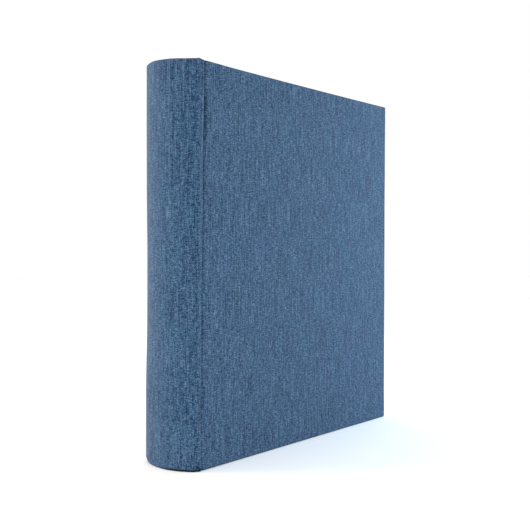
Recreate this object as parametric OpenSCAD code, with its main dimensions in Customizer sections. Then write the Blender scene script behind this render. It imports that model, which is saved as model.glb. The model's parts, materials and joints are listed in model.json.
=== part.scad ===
// Post-bound scrapbook album for letter-size pages, with a rounded, cloth-covered spine.
//
// Frame: +Z up, the album stands closed on its tail edges. The origin is the centre of its
// footprint. The spine is at -X, the fore edge at +X, and the front cover faces -Y.
//
// Every module is drawn in plan, with x = 0 on the two joints (the creases between the spine
// and the covers) and y = 0 on the middle of the album, and then placed by in_frame().
// The front half is drawn at -Y, and the back half is its mirror image.

/* [Album] */
// Height of the covers
album_h = 302; // [240:1:340]
// From the joints to the fore edge of the covers
cover_reach = 253; // [200:1:320]
// How far the rounded spine stands out behind the joints
spine_bulge = 18; // [17:0.5:21]

/* [Pages] */
// Number of leaves, half of them turning with each cover
leaf_count = 24; // [12:2:28]
// Thickness of one card leaf
leaf_t = 0.5; // [0.3:0.05:0.5]
// Thickness of one spacer guard between two leaves
guard_t = 1.1; // [1.1:0.1:1.5]
// How far the leaves stand back from the head and tail of the covers
head_square = 5; // [3:0.5:10]
// How far the leaves stand back from the fore edge of the covers
fore_square = 8; // [4:0.5:14]

/* [Materials] */
// Thickness of the greyboard in the covers
board_t = 2.6; // [2:0.1:3]
// Thickness of the bent board in the spine
spine_board_t = 1.6; // [1.2:0.1:2]
// Thickness of the linen cloth
cloth_t = 0.5; // [0.4:0.05:0.6]
// Thickness of the pasted papers
paper_t = 0.25; // [0.15:0.05:0.3]
// Thickness of the board in the two inner flaps
flap_board_t = 1.5; // [1:0.1:2]
// Thickness of the paper around the flap boards
wrap_t = 0.2; // [0.15:0.05:0.3]

/* [Binding posts] */
// Distance between the two outer posts
post_spacing = 216; // [180:1:230]
// Distance of the posts from the joints
post_inset = 12; // [10:0.5:14]
// Outer diameter of a post barrel
post_d = 5; // [4.5:0.1:5.5]
// Diameter of the holes that the posts pass through
post_hole_d = 5.6; // [5.6:0.1:6.5]
// Diameter of the flat heads
head_d = 10; // [9:0.5:12]
// Thickness of the flat heads
head_t = 1.4; // [1:0.1:1.6]

/* [Hidden] */
$fn = 96;

// Widths along x, from the joints
joint_half = 1.8;          // half the width of the bare cloth in a joint
board_gap_half = 2.2;      // from the joint to the nearest edge of a board
leg = 4.5;                 // straight side of the spine, before its shoulders
spine_inset = 0.3;         // the spine is this much thinner than the covers, each side
binding_edge = -1;         // where the leaves and guards end, towards the spine
guard_edge = 23;           // where the guards end, towards the fore edge
score_x = 24;              // the scored line that the leaves turn on
score_half = 0.25;         // half the width of that score
flap_start = 0.5;
flap_w = guard_edge - flap_start;
turn_in = 15;              // how far the cloth is folded over the inside of a board
liner_inset = 4;           // how far the pasted papers stand back from the boards' edges
joint_dip = 1.1;           // how far the cloth sinks into a joint
head_clearance = 0.6;      // between a post's head and the cover over it
seat = 0.02;               // air between sheets that are only laid or pressed together
paper_gap = 0.6;           // between a board's edge in a joint and the paper pasted next to it
tongue_lap = 0.1;          // how far the inner flap's tongue starts inside the flap
tongue_rise = 0.2;         // how much thicker the tongue is where it bends

// Layers through one cover, from its outer face to the face of its pastedown
cover_t = cloth_t + board_t + cloth_t + paper_t;
flap_t = flap_board_t + 2 * wrap_t;
pitch = leaf_t + guard_t;
stack_t = leaf_count * leaf_t + (leaf_count + 1) * guard_t;

// Faces of the front half, all at -Y
flap_inner = -stack_t / 2;
flap_outer = flap_inner - flap_t;
head_outer = flap_outer - head_t;
cover_inner = head_outer - head_clearance;
cover_outer = cover_inner - cover_t;
album_t = -2 * cover_outer;

// Rounded spine, outside: two shoulders and a crown. The line between their centres is the
// long side of a 3-4-5 triangle, so they are tangent where the crown is 3/5 of its radius wide.
arch_half = album_t / 2 - spine_inset;
arch_rise = spine_bulge - leg;
shoulder_r = (3 * arch_rise - arch_half) / 2;
shoulder_y = arch_half - shoulder_r;
crown_r = arch_rise + shoulder_y * 4 / 3;
crown_x = crown_r - spine_bulge;

leaf_edge = cover_reach - fore_square;
crease_x = (spine_bulge - cover_reach) / 2;
post_z = [for (k = [-1, 0, 1]) album_h / 2 + k * post_spacing / 2];
post_length = -2 * flap_outer;
screw_d = 3.9;
thread_d = 4;
screw_length = 12;
thread_depth = 20;
slot_w = 1.2;
slot_depth = 0.6;

front_nodes = ["front_board", "front_cloth", "front_pastedown", "front_joint_cloth",
               "front_flap_board", "front_flap_cover"];
back_nodes = ["back_board", "back_cloth", "back_pastedown", "back_joint_cloth",
              "back_flap_board", "back_flap_cover"];
spine_nodes = ["spine_board", "spine_cloth", "spine_liner"];
block_nodes = ["guard_strips", "leaf_margins", "post_barrels", "post_screws"];
leaf_nodes = [for (i = [1:leaf_count]) leaf_name(i)];

function leaf_name(i) = str("leaf_", i < 10 ? "0" : "", i);
// The middle of a leaf's thickness, counted from the front
function leaf_y(i) = flap_inner + guard_t + (i - 1) * pitch + leaf_t / 2;

linen = [0.29, 0.40, 0.54];
greyboard = [0.55, 0.53, 0.49];
endpaper = [0.90, 0.88, 0.82];
card = [0.95, 0.93, 0.88];
guard_card = [0.88, 0.85, 0.78];
steel = [0.75, 0.75, 0.77];

module in_frame() { translate([crease_x, 0, 0]) children(); }

module mirrored_back() { mirror([0, 1, 0]) children(); }

// A plate between two corners
module slab(low, high) {
    translate(low) cube(high - low);
}

// A plan outline extruded over a stretch of the height
module tall(z_low, z_high) {
    translate([0, 0, z_low]) linear_extrude(z_high - z_low) children();
}

/* ---- Spine ---- */

// The outline of the spine, shrunk by inset on all its curves, up to the joints
module arch_2d(inset) {
    half = arch_half - inset;
    crown = crown_r - inset;
    crown_half = crown * 3 / 5;
    for (side = [-1, 1]) translate([-leg, side * shoulder_y]) circle(shoulder_r - inset);
    intersection() {
        translate([crown_x, 0]) circle(crown);
        translate([-spine_bulge - 1, -crown_half])
            square([spine_bulge + 1 - joint_half, 2 * crown_half]);
    }
    translate([-leg, -half]) square([leg - joint_half, 2 * half]);
}

// A shell of the spine between two insets, which ends at x
module spine_shell_2d(outer, inner, end_x) {
    intersection() {
        difference() {
            arch_2d(outer);
            spine_core_2d(inner);
        }
        translate([-spine_bulge - 1, -album_t]) square([spine_bulge + 1 + end_x, 2 * album_t]);
    }
}

// The hollow inside an inset, run past the joints so that a shell is open there
module spine_core_2d(inset) {
    arch_2d(inset);
    half = arch_half - inset;
    translate([-leg, -half]) square([2 * leg, 2 * half]);
}

module spine_board() {
    color(greyboard)
        tall(cloth_t, album_h - cloth_t)
            spine_shell_2d(cloth_t, cloth_t + spine_board_t, -board_gap_half);
}

// The cloth lies on the outside of the board and is folded over its head and tail
module spine_cloth() {
    full = 2 * cloth_t + spine_board_t;
    color(linen) union() {
        tall(0, album_h) spine_shell_2d(0, cloth_t, -joint_half);
        for (z = [0, album_h - cloth_t])
            tall(z, z + cloth_t) spine_shell_2d(0, full, -joint_half);
        for (z = [0, album_h - turn_in])
            tall(z, z + turn_in)
                spine_shell_2d(cloth_t + spine_board_t, full, -joint_half);
    }
}

// Paper inside the spine, stepping up over the folded cloth at the head and tail
module spine_liner() {
    on_board = cloth_t + spine_board_t;
    on_cloth = on_board + cloth_t;
    end_x = -board_gap_half;
    step = paper_t;
    color(endpaper) union() {
        tall(turn_in, album_h - turn_in) spine_shell_2d(on_board, on_board + paper_t, end_x);
        for (z = [turn_in, album_h - turn_in - step])
            tall(z, z + step) spine_shell_2d(on_board, on_cloth + paper_t, end_x);
        tall(liner_inset, turn_in + step) spine_shell_2d(on_cloth, on_cloth + paper_t, end_x);
        tall(album_h - turn_in - step, album_h - liner_inset)
            spine_shell_2d(on_cloth, on_cloth + paper_t, end_x);
    }
}

/* ---- Front cover, mirrored for the back ---- */

module cover_board() {
    color(greyboard)
        slab([board_gap_half, cover_outer + cloth_t, cloth_t],
             [cover_reach - cloth_t, cover_outer + cloth_t + board_t, album_h - cloth_t]);
}

// The cloth wraps the board's head, tail and fore edge, and leaves a window on the inside
module cover_cloth() {
    inner = cover_outer + 2 * cloth_t + board_t;
    color(linen) difference() {
        slab([joint_half, cover_outer, 0], [cover_reach, inner, album_h]);
        slab([0, cover_outer + cloth_t, cloth_t],
             [cover_reach - cloth_t, cover_outer + cloth_t + board_t, album_h - cloth_t]);
        slab([0, cover_outer + cloth_t, turn_in],
             [cover_reach - turn_in, inner + 1, album_h - turn_in]);
    }
}

// The pastedown lies on the board in the window and on the folded cloth around it
module pastedown() {
    on_board = cover_outer + cloth_t + board_t;
    on_cloth = on_board + cloth_t;
    left = board_gap_half + paper_gap;
    right = cover_reach - liner_inset;
    bottom = liner_inset;
    top = album_h - liner_inset;
    window_right = cover_reach - turn_in;
    color(endpaper) difference() {
        slab([left, on_board, bottom], [right, on_cloth + paper_t, top]);
        difference() {
            slab([0, on_board - 1, 0], [cover_reach, on_cloth, album_h]);
            slab([-1, on_board - 2, turn_in], [window_right, on_cloth + 1, album_h - turn_in]);
        }
        slab([-1, on_board + paper_t, turn_in + paper_t],
             [window_right - paper_t, on_cloth + paper_t + 1, album_h - turn_in - paper_t]);
    }
}

// Bare cloth between the spine and a cover, sunk into the gap between their boards
module joint_cloth() {
    color(linen)
        tall(0, album_h)
            polygon([[-joint_half, cover_outer + spine_inset],
                     [0, cover_outer + joint_dip],
                     [joint_half, cover_outer],
                     [joint_half, cover_outer + cloth_t],
                     [0, cover_outer + joint_dip + cloth_t],
                     [-joint_half, cover_outer + spine_inset + cloth_t]]);
}

// The stiff inner flap that the posts clamp, between the cover and the leaves
module flap_board() {
    color(greyboard) difference() {
        slab([flap_start + wrap_t, flap_outer + wrap_t, head_square + wrap_t],
             [flap_start + flap_w - wrap_t, flap_inner - wrap_t, album_h - head_square - wrap_t]);
        post_holes(post_hole_d);
    }
}

// Paper wrapped round the flap board, with a tongue pasted inside the straight side of the spine
module flap_cover() {
    liner_face = -arch_half + cloth_t + spine_board_t + cloth_t + paper_t;
    tongue_t = 2 * wrap_t;
    bend_x = -board_gap_half - paper_gap;
    color(endpaper) difference() {
        union() {
            slab([flap_start, flap_outer, head_square],
                 [flap_start + flap_w, flap_inner, album_h - head_square]);
            tall(head_square, album_h - head_square)
                polygon([[flap_start + tongue_lap, flap_outer],
                         [flap_start + tongue_lap, flap_outer + tongue_t],
                         [bend_x, liner_face + tongue_t + tongue_rise],
                         [-leg, liner_face + tongue_t],
                         [-leg, liner_face],
                         [bend_x, liner_face]]);
        }
        slab([flap_start + wrap_t, flap_outer + wrap_t, head_square + wrap_t],
             [flap_start + flap_w - wrap_t, flap_inner - wrap_t, album_h - head_square - wrap_t]);
        post_holes(post_hole_d);
    }
}

/* ---- Leaves and binding ---- */

// A bar at each post, through the whole thickness of the album
module post_holes(d) {
    for (z = post_z)
        translate([post_inset, 0, z]) rotate([90, 0, 0])
            cylinder(d = d, h = album_t + 2, center = true);
}

// Spacers that make room for what is stuck on the leaves: one before, between and after them
module guard_strips() {
    color(guard_card) difference() {
        for (i = [0:leaf_count])
            let (y = flap_inner + i * pitch)
                slab([binding_edge, y + seat, head_square],
                     [guard_edge, y + guard_t - seat, album_h - head_square]);
        post_holes(post_hole_d);
    }
}

// The bound margin of every leaf, up to its scored line
module leaf_margins() {
    color(card) difference() {
        for (i = [1:leaf_count])
            slab([binding_edge, leaf_y(i) - leaf_t / 2, head_square],
                 [score_x - score_half, leaf_y(i) + leaf_t / 2, album_h - head_square]);
        post_holes(post_hole_d);
    }
}

// The free part of leaf i, which turns on its scored line
module leaf(i) {
    color(card)
        slab([score_x + score_half, leaf_y(i) - leaf_t / 2, head_square],
             [leaf_edge, leaf_y(i) + leaf_t / 2, album_h - head_square]);
}

// Barrels with a flat head behind the back flap and a threaded bore open to the front
module post_barrels() {
    color(steel)
        for (z = post_z)
            translate([post_inset, 0, z]) rotate([90, 0, 0]) difference() {
                union() {
                    cylinder(d = post_d, h = post_length, center = true);
                    translate([0, 0, -post_length / 2 - head_t]) cylinder(d = head_d, h = head_t);
                }
                translate([0, 0, post_length / 2 - thread_depth])
                    cylinder(d = thread_d, h = thread_depth + 1);
            }
}

// Screws with a slotted flat head in front of the front flap
module post_screws() {
    color(steel)
        for (z = post_z)
            translate([post_inset, -post_length / 2, z]) rotate([90, 0, 0]) difference() {
                union() {
                    cylinder(d = head_d, h = head_t);
                    translate([0, 0, -screw_length]) cylinder(d = screw_d, h = screw_length + head_t / 2);
                }
                translate([-head_d, -slot_w / 2, head_t - slot_depth])
                    cube([2 * head_d, slot_w, slot_depth + 1]);
            }
}

in_frame() spine_board();
in_frame() spine_cloth();
in_frame() spine_liner();

in_frame() cover_board();  // front_board
in_frame() cover_cloth();  // front_cloth
in_frame() pastedown();  // front_pastedown
in_frame() joint_cloth();  // front_joint_cloth
in_frame() flap_board();  // front_flap_board
in_frame() flap_cover();  // front_flap_cover

in_frame() mirrored_back() cover_board();  // back_board
in_frame() mirrored_back() cover_cloth();  // back_cloth
in_frame() mirrored_back() pastedown();  // back_pastedown
in_frame() mirrored_back() joint_cloth();  // back_joint_cloth
in_frame() mirrored_back() flap_board();  // back_flap_board
in_frame() mirrored_back() flap_cover();  // back_flap_cover

in_frame() guard_strips();
in_frame() leaf_margins();
in_frame() post_barrels();
in_frame() post_screws();
for (i = [1:leaf_count])
    in_frame() leaf(i);
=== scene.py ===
"""A post-bound scrapbook album in blue linen cloth, standing closed on its tail edges.

Lengths are in millimetres until a mesh is made, and x is measured from the joints (the creases
between the spine and the covers), as in the CAD source. The front half is made at -Y, and the
back half is its mirror image. Places on the case are given by z, the height, and by s, the way
along its outside from the front joint: positive over the front cover, negative round the spine.
"""

import json
import math

import bpy
import numpy as np
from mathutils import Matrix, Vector


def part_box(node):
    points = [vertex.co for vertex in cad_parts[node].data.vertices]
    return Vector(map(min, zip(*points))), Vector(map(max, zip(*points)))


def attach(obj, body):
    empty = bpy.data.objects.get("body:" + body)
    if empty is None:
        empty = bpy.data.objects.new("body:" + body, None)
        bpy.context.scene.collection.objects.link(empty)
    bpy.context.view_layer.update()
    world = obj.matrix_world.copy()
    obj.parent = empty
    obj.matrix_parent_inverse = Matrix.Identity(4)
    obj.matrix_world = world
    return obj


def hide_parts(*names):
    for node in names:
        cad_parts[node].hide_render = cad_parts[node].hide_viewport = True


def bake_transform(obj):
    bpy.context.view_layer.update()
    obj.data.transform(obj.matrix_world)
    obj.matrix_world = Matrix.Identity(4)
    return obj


MM = 0.001
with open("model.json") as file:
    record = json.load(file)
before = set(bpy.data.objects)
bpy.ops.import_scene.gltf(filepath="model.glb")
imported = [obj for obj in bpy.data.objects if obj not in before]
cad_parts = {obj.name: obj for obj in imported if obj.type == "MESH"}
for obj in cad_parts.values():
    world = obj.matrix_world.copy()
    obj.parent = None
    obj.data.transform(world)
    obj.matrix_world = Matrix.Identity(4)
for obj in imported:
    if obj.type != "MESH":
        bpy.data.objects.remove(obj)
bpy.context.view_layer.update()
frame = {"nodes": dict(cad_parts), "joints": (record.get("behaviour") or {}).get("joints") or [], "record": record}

# ---------------------------------------------------------------- sizes, from the frame

crease_x = frame["joints"][0]["pos_m"][0] / MM


def node_box(node):
    """The lowest and highest corner of a CAD node, in millimetres, with x from the joints."""
    low, high = (np.array(corner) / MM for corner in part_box(node))
    return low - (crease_x, 0, 0), high - (crease_x, 0, 0)


cover_low, cover_high = node_box("front_cloth")
spine_low, spine_high = node_box("spine_cloth")
board_low, board_high = node_box("front_board")
liner_low, liner_high = node_box("front_pastedown")
leaf_low = node_box("leaf_01")[0]

ALBUM_H = cover_high[2]
COVER_REACH = cover_high[0]
JOINT_HALF = cover_low[0]
BOARD_START = board_low[0]
COVER_FACE = -cover_low[1]
SPINE_HALF = spine_high[1]
BULGE = -spine_low[0]
CLOTH_T = board_low[1] - cover_low[1]
COVER_T = cover_high[1] - cover_low[1]

# Sizes that no node's box gives, as in the CAD source
SPINE_BOARD_T = 1.6
SPINE_T = SPINE_BOARD_T + 2 * CLOTH_T
JOINT_T = 1.3  # two layers of cloth and the glue between them
PAPER_T = 0.25
TURN_IN = 15  # how far the cloth is folded in over the inside of a cover
LEG = 4.5  # the spine's straight part beside each joint

# The spine's two shoulders and its crown, tangent where the crown is 3/5 of its radius wide
SHOULDER_R = (3 * (BULGE - LEG) - SPINE_HALF) / 2
SHOULDER_Y = SPINE_HALF - SHOULDER_R
CROWN_R = BULGE - LEG + SHOULDER_Y * 4 / 3
CROWN_X = CROWN_R - BULGE
TOUCH_ANGLE = math.atan2(4, 3)

# The way round the spine, from the front joint to the end of each part
SHOULDER_END = LEG + SHOULDER_R * TOUCH_ANGLE
CROWN_END = SHOULDER_END + CROWN_R * (math.pi - 2 * TOUCH_ANGLE)
SPINE_END = CROWN_END + SHOULDER_R * TOUCH_ANGLE + LEG - JOINT_HALF


# ---------------------------------------------------------------- materials


def srgb(*colour):
    """A colour of 0 to 255 as the linear numbers that Blender uses."""
    shares = [value / 255 for value in colour]
    return tuple(v / 12.92 if v < 0.04045 else ((v + 0.055) / 1.055) ** 2.4 for v in shares)


class Look:
    """One material's nodes. An input is a number, a tuple or another node's output."""

    def __init__(self, name, **values):
        self.material = bpy.data.materials.new(name)
        self.material.use_nodes = True
        self.nodes = self.material.node_tree.nodes
        self.links = self.material.node_tree.links
        self.surface = self.nodes["Principled BSDF"]
        self.set(**values)

    def set(self, **values):
        """Feed the surface's inputs, named with _ for each space."""
        for key, value in values.items():
            self.feed(self.surface.inputs[key.replace("_", " ")], value)

    def feed(self, socket, value):
        if isinstance(value, bpy.types.NodeSocket):
            self.links.new(value, socket)
        else:
            socket.default_value = value

    def node(self, kind, inputs, output=0, **settings):
        """One output of a new node."""
        made = self.nodes.new("ShaderNode" + kind)
        for key, value in settings.items():
            setattr(made, key, value)
        for key, value in inputs.items():
            self.feed(made.inputs[key], value)
        return made.outputs[output]

    def maths(self, operation, *values):
        return self.node("Math", dict(enumerate(values)), operation=operation)

    def times(self, value, factor, plus=0.0):
        return self.maths("MULTIPLY_ADD", value, factor, plus)

    def vector(self, x, y, z=0.0):
        return self.node("CombineXYZ", {0: x, 1: y, 2: z})

    def drawn_out(self, vector, share):
        """The vector with its third part scaled, so that what it feeds is drawn out upwards."""
        return self.node("VectorMath", {0: vector, 1: (1, 1, share)}, operation="MULTIPLY")

    def noise(self, vector, scale=1.0, detail=2.0, roughness=0.5):
        inputs = {"Vector": vector, "Scale": scale, "Detail": detail, "Roughness": roughness}
        return self.node("TexNoise", inputs)

    def attribute(self, name):
        return self.node("Attribute", {}, output=2, attribute_name=name)

    def object_place(self):
        return self.node("TexCoord", {}, output=3)

    def mix(self, share, a, b):
        return self.node("Mix", {0: share, 2: a, 3: b}, data_type="FLOAT")

    def mix_colour(self, share, a, b, blend="MIX"):
        inputs = {0: share, 6: a, 7: b}
        return self.node("Mix", inputs, output=2, data_type="RGBA", blend_type=blend)

    def ramp(self, value, *stops):
        """Colours between stops of (position, colour)."""
        made = self.nodes.new("ShaderNodeValToRGB")
        elements = made.color_ramp.elements
        while len(elements) < len(stops):
            elements.new(0.5)
        for element, (position, colour) in zip(elements, stops):
            element.position = position
            element.color = (*colour, 1)
        self.links.new(value, made.inputs[0])
        return made.outputs[0]

    def bump(self, height, distance, strength):
        inputs = {"Strength": strength, "Distance": distance, "Height": height}
        self.set(Normal=self.node("Bump", inputs))


YARN = 0.45 * MM  # from one yarn to the next
YARN_WANDER = 1.4  # how far the yarns stray, in yarns
YARN_TONE, STREAK_TONE, SPECK_TONE = 5.5, 1.35, 0.7  # what each adds to the tone, from 0 to this
MIDDLE_SHADE = 0.235  # where the middle tone falls between dark (0) and light (1), in a dip
# Painted shade: the yarns' tops are painted lighter than the dips between them
WEAVE_PAINTED_SHADE = 0.35  # how much further up it falls on top of a yarn
SPINE_CALM = 0.7  # the share of the tones left on the spine, which handling has evened out
CALM_FULL, CALM_NONE = -36, -6  # the places along the case where that is full and where it ends
CLOTH_DARK = srgb(0, 30, 64)
CLOTH_MID = srgb(38, 77, 109)
CLOTH_LIGHT = srgb(87, 114, 143)
# painted shade: the joint's crease, the pinch at its tail and the underside of the spine's tail are painted
# towards this colour, and the edges a little
DARK_EDGE_AND_SHADE_COLOUR = srgb(0, 9, 26)


def yarn_tone(look, across, up, warp, weft, over):
    """A tone round 0: each yarn's changes along it in dashes, with longer streaks up the warp."""
    dash = {"detail": 4.0, "roughness": 0.8}
    warp_tone = look.noise(look.vector(look.times(warp, 0.55), look.times(up, 0.065)), **dash)
    weft_tone = look.noise(look.vector(look.times(across, 0.11), look.times(weft, 0.57)), **dash)
    streak = look.noise(look.vector(look.times(warp, 0.43), look.times(up, 0.013), 7.0))
    speck = look.node("TexWhiteNoise", {"Vector": look.vector(warp, weft)}, noise_dimensions="2D")
    tone = look.mix(look.mix(over, 0.3, 0.85), warp_tone, weft_tone)
    tone = look.times(tone, YARN_TONE, look.times(speck, SPECK_TONE))
    tone = look.times(streak, STREAK_TONE, tone)
    return look.maths("SUBTRACT", tone, (YARN_TONE + STREAK_TONE + SPECK_TONE) / 2)


def weave_height(look, across, up, over):
    """The yarns are round, and dip where they pass under each other."""
    crowns = []
    for yarns in (across, up):
        crowns.append(look.maths("SINE", look.times(look.maths("FRACT", yarns), math.pi)))
    rises = [look.times(crown, 0.6, 0.4) for crown in crowns]
    warp_up = look.maths("MULTIPLY", crowns[0], rises[1])
    weft_up = look.maths("MULTIPLY", crowns[1], rises[0])
    return look.mix(over, warp_up, weft_up)


def linen():
    """Plain-woven linen, laid out by the weave map, with its worn ridges, painted highlight, painted shade and
    darker edges stored on the mesh.
    """
    look = Look("linen", Sheen_Roughness=0.5)
    flat = look.node("UVMap", {}, uv_map="weave")
    along, upward = (look.node("SeparateXYZ", {0: flat}, output=axis) for axis in (0, 1))
    wander = look.times(look.noise(flat, scale=160.0, detail=3.0), YARN_WANDER)
    across, up = (look.times(way, 1 / YARN, wander) for way in (along, upward))
    warp, weft = look.maths("FLOOR", across), look.maths("FLOOR", up)
    over = look.maths("FLOORED_MODULO", look.maths("ADD", warp, weft), 2.0)

    height = weave_height(look, across, up, over)
    tone = yarn_tone(look, across, up, warp, weft, over)
    fade = {"From Min": CALM_FULL * MM, "From Max": CALM_NONE * MM, "To Min": SPINE_CALM}
    calm = look.node("MapRange", {"Value": along, **fade, "To Max": 1.0})
    # painted shade in the weave: a yarn's top is painted lighter and the dips between yarns darker
    shade = look.times(height, WEAVE_PAINTED_SHADE, look.times(tone, calm, MIDDLE_SHADE))
    colour = look.ramp(shade, (0.0, CLOTH_DARK), (0.5, CLOTH_MID), (1.0, CLOTH_LIGHT))

    # dye takes a little unevenly, ridges are painted lighter (partly worn, partly painted highlight), painted
    # shade darkens the creases and the spine's tail underside, and the edges are darker
    patch = look.noise(flat, scale=45.0)
    tint = look.ramp(patch, (0.3, (0.93, 1.03, 1.0)), (0.7, (1.07, 0.98, 1.02)))
    colour = look.mix_colour(1.0, colour, tint, blend="MULTIPLY")
    rubbed_and_highlight, dark_edges_and_painted_shade = look.attribute("rubbed_and_highlight"), look.attribute("dark_edges_and_painted_shade")
    # painted highlight, partly worn cloth: ridges mixed towards the light yarn colour
    colour = look.mix_colour(look.times(rubbed_and_highlight, 0.3), colour, (*CLOTH_LIGHT, 1))
    # painted shade: crease, pinch and the spine's tail underside mixed towards the dark colour, and the edges a
    # little
    colour = look.mix_colour(look.times(dark_edges_and_painted_shade, 0.95), colour, (*DARK_EDGE_AND_SHADE_COLOUR, 1))
    look.set(
        Base_Color=colour,
        # where shade is painted, sheen and specular are turned down too, so it stays dark
        Sheen_Weight=look.times(dark_edges_and_painted_shade, -0.1, 0.1),
        Specular_IOR_Level=look.times(dark_edges_and_painted_shade, -0.25, 0.25),
        Roughness=look.times(height, -0.15, 0.95),
    )
    look.bump(height, 0.12 * MM, 0.55)
    return look.material


def paper(name, colour, fleck, roughness=0.8, grain=900.0):
    """Uncoated paper or card: fine fibres, faint clouds and a few flecks."""
    look = Look(name, Sheen_Weight=0.05)
    place = look.object_place()
    fibre = look.noise(look.drawn_out(place, 0.35), scale=grain, detail=3.0)
    cloud = look.noise(place, scale=28.0, detail=3.0)
    light = tuple(min(1, c * 1.03) for c in colour)
    dark = tuple(c * 0.94 for c in colour)
    base = look.ramp(look.mix(0.35, fibre, cloud), (0.3, dark), (0.7, light))
    spots = look.noise(place, scale=420.0, detail=1.0)
    spots = look.ramp(spots, (0.7, (0, 0, 0)), (0.78, (1, 1, 1)))
    base = look.mix_colour(look.times(spots, 0.35), base, (*fleck, 1))
    look.set(Base_Color=base, Roughness=look.times(fibre, 0.15, roughness - 0.08))
    look.bump(fibre, 0.03 * MM, 0.5)
    return look.material


def steel():
    """Nickel-plated steel, faintly brushed, with a few handling marks."""
    look = Look("nickel", Metallic=1.0)
    place = look.object_place()
    brushed = look.noise(look.drawn_out(place, 0.05), scale=6000.0)
    marks = look.noise(place, scale=700.0, detail=3.0)
    look.set(
        Base_Color=look.ramp(marks, (0.35, (0.52, 0.51, 0.49)), (0.6, (0.70, 0.69, 0.67))),
        Roughness=look.mix(0.6, brushed, look.times(marks, 0.5)),
    )
    look.bump(brushed, 0.005 * MM, 0.4)
    return look.material


LINEN = linen()
ENDPAPER = paper("endpaper", srgb(210, 203, 189), srgb(168, 156, 134))
CARD = paper("card", srgb(214, 209, 197), srgb(178, 168, 148))
GUARD_CARD = paper("guard_card", srgb(200, 191, 172), srgb(152, 140, 114), roughness=0.85)
GREYBOARD = paper("greyboard", srgb(148, 142, 130), srgb(96, 90, 80), roughness=0.9, grain=500.0)
STEEL = steel()


# ---------------------------------------------------------------- meshes


def smooth(value, start, end):
    """0 before start, 1 after end, and a smooth rise between them."""
    share = np.clip((value - start) / (end - start), 0, 1)
    return share * share * (3 - 2 * share)


def hump(value, middle, width):
    """1 at the middle, falling to 0 on both sides of it."""
    return np.exp(-(((value - middle) / width) ** 2))


def stretch(start, end, step):
    """Evenly spaced values from start up to, and without, end."""
    count = max(1, round((end - start) / step))
    return list(np.linspace(start, end, count, endpoint=False))


def grid_faces(columns, rows, mirrored=False):
    """The faces of a sheet whose points are listed up each column in turn."""
    faces = []
    for i in range(columns - 1):
        for j in range(rows - 1):
            a, b = i * rows + j, (i + 1) * rows + j
            faces.append([a, b, b + 1, a + 1] if mirrored else [a, a + 1, b + 1, b])
    return faces


def make_piece(name, points, faces, material, thickness, uvs=None, wear_and_painted_light=None):
    """A smooth mesh object from points in millimetres, given its thickness by Solidify."""
    points = (np.array(points) + (crease_x, 0, 0)) * MM
    mesh = bpy.data.meshes.new(name)
    mesh.from_pydata(points.tolist(), [], faces)
    mesh.shade_smooth()
    mesh.materials.append(material)
    if uvs is not None:
        layer = mesh.uv_layers.new(name="weave")
        layer.data.foreach_set("uv", (np.concatenate(uvs) * MM).astype(np.float32).ravel())
    # per point: how much the cloth is painted lighter (worn, painted highlight) and darker (painted shade, darker
    # edges)
    for key, values in (wear_and_painted_light or {}).items():
        attribute = mesh.attributes.new(key, "FLOAT", "POINT")
        attribute.data.foreach_set("value", np.array(values, np.float32))
    piece = bpy.data.objects.new(name, mesh)
    bpy.context.scene.collection.objects.link(piece)
    solid = piece.modifiers.new("thickness", "SOLIDIFY")
    solid.thickness = thickness * MM
    solid.offset = -1
    return piece


# ---------------------------------------------------------------- the case's shape

JOINT_FLOOR = 0.9  # half the width of the joint's thin part
CREASE_S, CREASE_Z = 0.3, 258  # a point that the crease goes through
CREASE_DRIFT = 3.8  # how far it has strayed from there at the tail
FOLD_S = -28  # a soft fold up the side of the spine


def outer_face(s):
    """The point (x, y) and the inward normal of the case's outside."""
    if s > -LEG:
        y = -SPINE_HALF - (COVER_FACE - SPINE_HALF) * smooth(s, -JOINT_HALF, JOINT_HALF)
        return np.array([s, y]), np.array([0.0, 1.0])
    past_shoulder = -s - CROWN_END - SHOULDER_R * TOUCH_ANGLE
    if past_shoulder > 0:
        return np.array([-LEG + past_shoulder, SPINE_HALF]), np.array([0.0, -1.0])
    if -s < SHOULDER_END:
        angle, centre, radius = (-s - LEG) / SHOULDER_R, (-LEG, -SHOULDER_Y), SHOULDER_R
    elif -s < CROWN_END:
        angle = TOUCH_ANGLE + (-s - SHOULDER_END) / CROWN_R
        centre, radius = (CROWN_X, 0), CROWN_R
    else:
        angle = math.pi - TOUCH_ANGLE + (-s - CROWN_END) / SHOULDER_R
        centre, radius = (-LEG, SHOULDER_Y), SHOULDER_R
    inward = np.array([math.sin(angle), math.cos(angle)])
    return np.array(centre) - radius * inward, inward


def case_thickness(s):
    """From the outer face to the face of the turned-in cloth: thin in the joint."""
    full = COVER_T if s > 0 else SPINE_T
    return JOINT_T + (full - JOINT_T) * float(smooth(abs(s), JOINT_FLOOR, BOARD_START))


def joint_line(z):
    """Where the joint's crease is pressed in: toward the tail it strays over the spine's side."""
    strayed = CREASE_S - CREASE_DRIFT * (1 - (z / CREASE_Z) ** 2)
    return min(strayed, JOINT_FLOOR)


def ridge_line(z):
    """The top of the soft ridge beside the crease, further away from it lower down."""
    return joint_line(z) - 2.6 - 7 * (1 - z / 265)


def joint_groove(s, z):
    """How far the joint is pressed in: deep at the head, and within the cloth at the tail."""
    return (0.4 + 0.95 * smooth(z, 170, 290)) * hump(s, joint_line(z), 0.85)


def ridge(s, z):
    """How far the ridge beside the joint stands out: narrow at the head and broad below."""
    broad = 1 - smooth(z, 150, 260)
    return (0.4 + 0.3 * broad) * smooth(z, 4, 30) * hump(s, ridge_line(z), 0.8 + 2.7 * broad)


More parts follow.
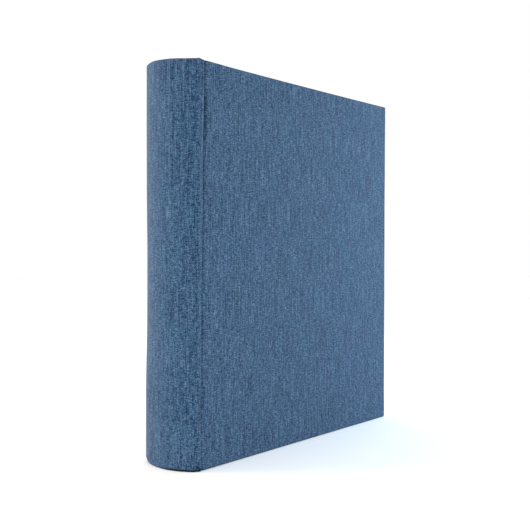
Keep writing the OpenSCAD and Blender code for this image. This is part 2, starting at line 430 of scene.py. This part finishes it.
def tuck(s, z, below=0.0):
    """1 in the slanting pinch at the tail of the joint, or below it, and 0 away from it."""
    slant = z + below - 3.6 * (-2.4 - s) / 5.6
    return hump(slant, 0, 0.75) * smooth(s, -8.6, -7.6) * (1 - smooth(s, -3.0, -2.2))


def swell(s, z):
    """How far the outer cloth alone stands out, from handling."""
    fold = 0.35 * (hump(s, FOLD_S, 1.2) - hump(s, FOLD_S + 2.8, 1.5)) * smooth(z, 140, 250)
    drift = 0.05 * np.sin(z / 23 + s / 31) + 0.03 * np.sin(z / 9.5 - s / 14 + 1)
    drift *= smooth(z, 0, 8) * smooth(ALBUM_H - z, 0, 8)
    foot = (1 - smooth(z, 50, 105)) * smooth(z, 0, 4) - 0.25 * hump(z, 150, 40)
    foot *= smooth(-s, 44, 58) * (1 - smooth(-s, 66, 71))
    pinch = 0.7 * tuck(s, z, below=1.1) + 0.3 * tuck(s, z, below=-1.0) - 0.3 * tuck(s, z)
    return fold + foot + pinch + ridge(s, z) + drift


def out_of_true(s, z):
    """How far the outline's edges stray from the plain sizes, along s and up."""
    if s > 0:
        along = (0.5 + 1.2 * (z / ALBUM_H) ** 2) * (s / COVER_REACH) ** 2
        rise = 1.5 * (s / COVER_REACH) ** 2 - 0.25 * smooth(s, 5, 30)
    else:
        along = 0
        rise = 1.7 * smooth(-s, 18, 64) * (1 - smooth(-s, 66, 71)) + 0.7 * hump(s, -4.3, 2.4)
        rise += 0.5 * smooth(-s, 14, 26) * (1 - smooth(-s, 46, 58))
    return along, rise * smooth(z, 150, ALBUM_H)


def wear_and_painted_light_at(s, z):
    """How much the outside of the cloth is painted lighter (partly worn, partly painted highlight) and darker
    (painted shade, and darker edges), from 0 to 1.
    """
    # lighter on the ridge beside the joint and on the spine's fold: partly worn, partly a painted highlight where
    # light catches them
    rubbed_and_highlight = hump(s, ridge_line(z), 0.5) * smooth(z, 190, 270)
    rubbed_and_highlight += 0.6 * hump(s, FOLD_S, 0.8) * smooth(z, 140, 250)
    # painted shade in the joint's crease and in the pinch at its tail
    valley = hump(s, joint_line(z), 0.9) * (0.3 + 0.15 * smooth(z, 150, 290)) + tuck(s, z)
    # darker along the head, tail and fore edges
    edge = 0.25 * (1 - smooth(min(z, ALBUM_H - z, COVER_REACH - s), 0.2, 1.3))
    # painted shadow along the underside of the spine's tail edge, where it stands on the floor
    under_spine = (1 - smooth(z, 1.0, 1.8)) * smooth(-s, 1, 4) * (1 - smooth(-s, 24, 44))
    return float(rubbed_and_highlight), float(min(1, valley + edge + under_spine))


# ---------------------------------------------------------------- the case's cloth

EDGE_R = 0.9  # the rounding of the cloth over the boards' edges
MITRE_RISE = 0.2  # the seam of the turned-in corners
ROUNDING = [EDGE_R * (1 - math.tan(math.radians(angle))) for angle in (45, 30, 15, 0)]
BORDER = ROUNDING + stretch(EDGE_R + 0.4, 4.5, 0.4) + [5.5, 7, 9, 11.5, TURN_IN]
INNER = 2 * len(ROUNDING) - 1  # the last line through the thickness, with 0 as the first


def rounded(s, z, k, whole):
    """The way along, the height and the depth of a point in cloth of this whole thickness."""
    radius = min(EDGE_R, whole / 2 - 0.01)
    near = ROUNDING[min(k, INNER - k)] * radius / EDGE_R
    local = np.array([s, z, near if k < len(ROUNDING) else whole - near])
    high = (COVER_REACH - radius, ALBUM_H - radius, whole - radius)
    core = np.clip(local, (-math.inf, radius, radius), high)
    out = local - core
    reach = np.linalg.norm(out)
    return core + out * radius / reach if reach > 1e-9 else local


def cloth_point(s, z, k):
    """The place of a point of the front cloth, with its marks of handling."""
    whole = case_thickness(s)
    along, up, depth = rounded(s, z, k, whole)
    depth += joint_groove(s, up) - (1 - depth / whole) * swell(s, up)
    from_fore, from_end = COVER_REACH - s, min(z, ALBUM_H - z)
    if k == INNER and abs(from_fore - from_end) < 0.05 and from_end > EDGE_R / 2:
        depth -= MITRE_RISE
    place, inward = outer_face(min(along, COVER_REACH))
    x, y = place + inward * depth
    stray, rise = out_of_true(s, up)
    return x + stray, y, up + rise


class CaseCloth:
    """The mesh of one piece of cloth, on lines i along s, j up and k through the thickness."""

    def __init__(self, s_lines, mirrored, u_start):
        middle = stretch(TURN_IN, ALBUM_H - TURN_IN, 6)[1:]
        self.s_lines = sorted(s_lines) + [COVER_REACH - b for b in reversed(BORDER)]
        self.z_lines = BORDER + middle + [ALBUM_H - b for b in reversed(BORDER)]
        self.mirrored, self.u_start = mirrored, u_start
        self.numbers, self.points, self.faces, self.uvs = {}, [], [], []
        # per point: painted lighter (worn, painted highlight) and darker (painted shade, darker edges)
        self.wear_and_painted_light = {"rubbed_and_highlight": [], "dark_edges_and_painted_shade": []}

    def vertex(self, i, j, k):
        """The number of a point, which is made when it is first asked for."""
        if (i, j, k) not in self.numbers:
            self.numbers[i, j, k] = len(self.points)
            s, z = self.s_lines[i], self.z_lines[j]
            x, y, up = cloth_point(s, z, k)
            self.points.append((x, -y if self.mirrored else y, up))
            outside = k < len(ROUNDING)
            for values, amount in zip(self.wear_and_painted_light.values(), wear_and_painted_light_at(s, z)):
                values.append(amount * outside)
        return self.numbers[i, j, k]

    def unfold(self, side, i, j, k):
        """A point's place in the cloth laid flat."""
        s, z = self.s_lines[i], self.z_lines[j]
        round_edge = k * COVER_T / INNER
        if side == "outer":
            return s, z
        if side == "tail":
            return s, -round_edge
        if side == "head":
            return s, ALBUM_H + round_edge
        if side == "fore":
            return COVER_REACH + round_edge, z
        if COVER_REACH - s < min(z, ALBUM_H - z):
            return 2 * COVER_REACH + COVER_T - s, z
        return s, (-COVER_T - z if z < ALBUM_H / 2 else 2 * ALBUM_H + COVER_T - z)

    def quad(self, side, *corners):
        """A face on one side of the case, from its corners counter-clockwise from outside."""
        corners = corners[::-1] if self.mirrored else corners
        self.faces.append([self.vertex(*corner) for corner in corners])
        flat = [self.unfold(side, *corner) for corner in corners]
        self.uvs.append(np.array(flat) + (self.u_start, 0))

    def turned_in(self, i, j):
        """Whether the cloth is folded in behind the face that starts at these lines."""
        at_end = self.z_lines[j + 1] <= TURN_IN or self.z_lines[j] >= ALBUM_H - TURN_IN
        return at_end or self.s_lines[i] >= COVER_REACH - TURN_IN - 1e-6


def case_cloth(name, s_lines, mirrored=False, u_start=0.0):
    """Cloth over the boards from the first of s_lines to the fore edge, folded in on three sides."""
    cloth = CaseCloth(s_lines, mirrored, u_start)
    last_i, last_j = len(cloth.s_lines) - 1, len(cloth.z_lines) - 1
    for i in range(last_i):
        for j in range(last_j):
            cloth.quad("outer", (i, j, 0), (i + 1, j, 0), (i + 1, j + 1, 0), (i, j + 1, 0))
            if cloth.turned_in(i, j):
                k = INNER
                cloth.quad("inner", (i, j, k), (i, j + 1, k), (i + 1, j + 1, k), (i + 1, j, k))
        for k in range(INNER):
            cloth.quad("tail", (i, 0, k), (i, 0, k + 1), (i + 1, 0, k + 1), (i + 1, 0, k))
            j = last_j
            cloth.quad("head", (i, j, k), (i + 1, j, k), (i + 1, j, k + 1), (i, j, k + 1))
    for j in range(last_j):
        for k in range(INNER):
            i = last_i
            cloth.quad("fore", (i, j, k), (i, j, k + 1), (i, j + 1, k + 1), (i, j + 1, k))
    points, faces = cloth.points, cloth.faces
    return make_piece(name, points, faces, LINEN, CLOTH_T, cloth.uvs, cloth.wear_and_painted_light)


# closer lines where the cloth bends, or is creased or folded
cover_lines = stretch(3, COVER_REACH - TURN_IN, 6)
joint_lines = stretch(-JOINT_HALF, 3, 0.3)
spine_lines = stretch(-SPINE_END, -CROWN_END, 0.6)
spine_lines += stretch(-CROWN_END, FOLD_S - 3, 1.3)
spine_lines += stretch(FOLD_S - 3, FOLD_S + 6, 0.4)
spine_lines += stretch(FOLD_S + 6, -12, 1.0)
spine_lines += stretch(-12, -JOINT_HALF, 0.3)

# the back's weave starts far along, so that it isn't the front's over again
front_case = case_cloth("front_case_cloth", spine_lines + joint_lines + cover_lines)
back_case = case_cloth("back_case_cloth", joint_lines + cover_lines, mirrored=True, u_start=700)


# ---------------------------------------------------------------- papers inside the covers

ON_BOARD = CLOTH_T + (board_high[1] - board_low[1]) + PAPER_T  # the endpaper's depth on the board
# The endpaper round the board's edge at the joint: from that edge along, and the depth
WRAP = [(-0.35, 1.6), (-0.33, 2.4), (-0.15, 3.1), (0.2, ON_BOARD)]
WRAP_LEVEL = 2  # from this depth on, the wrap steps up over the turned-in cloth too


def over_turn_in(from_edge):
    """How far the endpaper steps up over the cloth folded in round the board."""
    return CLOTH_T * (1 - smooth(from_edge, TURN_IN + 0.1, TURN_IN + 1.3))


def pastedown(name, mirrored=False):
    """Endpaper glued inside a cover, and wrapped round the board's edge at the joint."""
    left, right, bottom = liner_low[0], liner_high[0], liner_low[2]
    step = [TURN_IN + v for v in (-0.5, 0.1, 0.4, 0.7, 1.0, 1.3, 2.0)]
    ends = [bottom, bottom + 2, 9] + step
    fore = [COVER_REACH - right, COVER_REACH - right + 2, 9] + step
    xs = [left, left + 0.4] + stretch(left + 3, right - TURN_IN, 9)
    xs += [COVER_REACH - v for v in reversed(fore)]
    zs = ends + stretch(TURN_IN + 4, ALBUM_H - TURN_IN - 4, 9)
    zs += [ALBUM_H - v for v in reversed(ends)]
    points = []
    for along, depth in WRAP:
        for z in zs:
            lift = over_turn_in(min(z, ALBUM_H - z)) if depth > WRAP_LEVEL else 0
            points.append((BOARD_START + along, depth + lift - COVER_FACE, z))
    for x in xs:
        for z in zs:
            lift = over_turn_in(min(COVER_REACH - x, z, ALBUM_H - z))
            wave = 0.02 * math.sin(x / 17 + z / 29)
            points.append((x, ON_BOARD + lift + wave - COVER_FACE, z))
    if mirrored:
        points = [(x, -y, z) for x, y, z in points]
    faces = grid_faces(len(WRAP) + len(xs), len(zs), mirrored)
    return make_piece(name, points, faces, ENDPAPER, PAPER_T)


front_pastedown = pastedown("front_pastedown_paper")
back_pastedown = pastedown("back_pastedown_paper", mirrored=True)


# ---------------------------------------------------------------- leaves

SCORE_HALF = 0.25  # half of the gap at each leaf's scored line
SCORE_X = leaf_low[0] - SCORE_HALF
WAVE = 0.09  # how far a leaf's waves take its fore edge
chance = np.random.default_rng(24)


def leaf(number, node):
    """A card leaf from its scored line to its fore edge, very slightly wavy."""
    low, high = node_box(node)
    middle, half = (low[1] + high[1]) / 2, (high[1] - low[1]) / 2
    xs = [SCORE_X + v for v in (-SCORE_HALF, -0.15, -0.05, 0.05, 0.15, SCORE_HALF, 0.6, 2)]
    xs += stretch(SCORE_X + 6, high[0], 11) + [high[0]]
    zs = stretch(low[2], high[2], 12) + [high[2]]
    waves = []
    for _ in range(3):
        waves.append((chance.uniform(0.6, 1.6), chance.uniform(0, 6.28), chance.uniform(-1, 1)))
    points = []
    for x in xs:
        reach = (x - xs[0]) / (high[0] - xs[0])
        for z in zs:
            bend = sum(a * math.sin(k * math.pi * z / ALBUM_H + p) for k, p, a in waves)
            points.append((x, middle - half + WAVE * bend * reach**1.5, z))
    faces = grid_faces(len(xs), len(zs), mirrored=True)
    piece = make_piece(f"leaf_sheet_{number:02d}", points, faces, CARD, 2 * half)
    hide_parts(node)
    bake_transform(piece)


leaf_nodes = sorted(n for n in frame["nodes"] if n.startswith("leaf_") and n != "leaf_margins")
for number, node in enumerate(leaf_nodes, 1):
    leaf(number, node)


# ---------------------------------------------------------------- CAD nodes that stay

LOOKS = {
    "linen_cloth": LINEN,
    "greyboard": GREYBOARD,
    "endpaper": ENDPAPER,
    "leaf_card": CARD,
    "guard_card": GUARD_CARD,
    "post_metal": STEEL,
}
for row in frame["record"]["subparts"]:
    for material_slot in frame["nodes"][row["node"]].material_slots:
        material_slot.material = LOOKS[row["material_slot"]]

# ---------------------------------------------------------------- what each piece stands for

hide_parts("spine_cloth", "front_joint_cloth", "front_cloth")
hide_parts("back_joint_cloth", "back_cloth")
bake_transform(front_case)
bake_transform(back_case)
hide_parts("front_pastedown")
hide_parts("back_pastedown")
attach(front_pastedown, "front_cover")
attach(back_pastedown, "back_cover")

# ---------------------------------------------------------------- floor, light and camera


def floor():
    """A plain white floor just under the album."""
    bpy.ops.mesh.primitive_plane_add(size=12, location=(0, 0, -0.2 * MM))
    plane = bpy.context.object
    plane.name = "floor"
    plane.data.materials.append(Look("floor", Base_Color=(1, 1, 1, 1), Roughness=0.9).material)


def softbox(name, place, aim, size, watts, colour):
    """A square area light at one place, facing another; both in metres."""
    data = bpy.data.lights.new(name, "AREA")
    data.energy, data.size, data.color = watts, size, colour
    light = bpy.data.objects.new(name, data)
    bpy.context.scene.collection.objects.link(light)
    light.location = place
    light.rotation_euler = (Vector(aim) - Vector(place)).to_track_quat("-Z", "Y").to_euler()


def studio():
    """A white room, a cool light on the front cover and warm ones behind and on the spine."""
    world = bpy.data.worlds.new("studio")
    bpy.context.scene.world = world
    world.use_nodes = True
    world.node_tree.nodes["Background"].inputs["Color"].default_value = (1, 1, 1, 1)
    world.node_tree.nodes["Background"].inputs["Strength"].default_value = 1.0
    middle = (0, 0, ALBUM_H * MM / 2)
    cool, warm, warmer = (0.58, 0.95, 1.25), (1.06, 0.94, 0.84), (1.1, 0.9, 0.75)
    softbox("right_softbox", (0.72, -0.18, 0.25), middle, 0.35, 4.4, cool)
    softbox("left_softbox", (-0.76, 0.90, 0.36), middle, 0.6, 10.0, warm)
    softbox("low_fill", (-0.35, -0.22, 0.03), (-0.12, -0.03, 0.05), 0.06, 0.24, warmer)
    softbox("high_fill", (-0.35, -0.22, 0.35), (-0.12, -0.03, 0.29), 0.06, 0.15, warmer)
    bpy.context.scene.view_settings.view_transform = "Standard"


LENS = 54
HEADING = 50.37  # degrees from +Y towards +X
TILT_DOWN = 0.77
CAMERA_FROM_JOINT = (44.3, 159.3, 584.9)  # right of, above and in front of the joint's tail


def camera():
    """The camera, placed from the front joint and looking along its heading."""
    data = bpy.data.cameras.new("camera")
    data.lens = LENS
    view = bpy.data.objects.new("camera", data)
    bpy.context.scene.collection.objects.link(view)
    heading = math.radians(HEADING)
    forward = np.array([math.sin(heading), math.cos(heading), 0])
    right = np.array([math.cos(heading), -math.sin(heading), 0])
    from_right, above, in_front = CAMERA_FROM_JOINT
    joint_tail = np.array([crease_x, -COVER_FACE, 0])
    place = joint_tail + right * from_right + np.array([0, 0, above]) - forward * in_front
    view.location = place * MM
    view.rotation_euler = (math.radians(90 - TILT_DOWN), 0, -heading)
    bpy.context.scene.camera = view


floor()
studio()
camera()
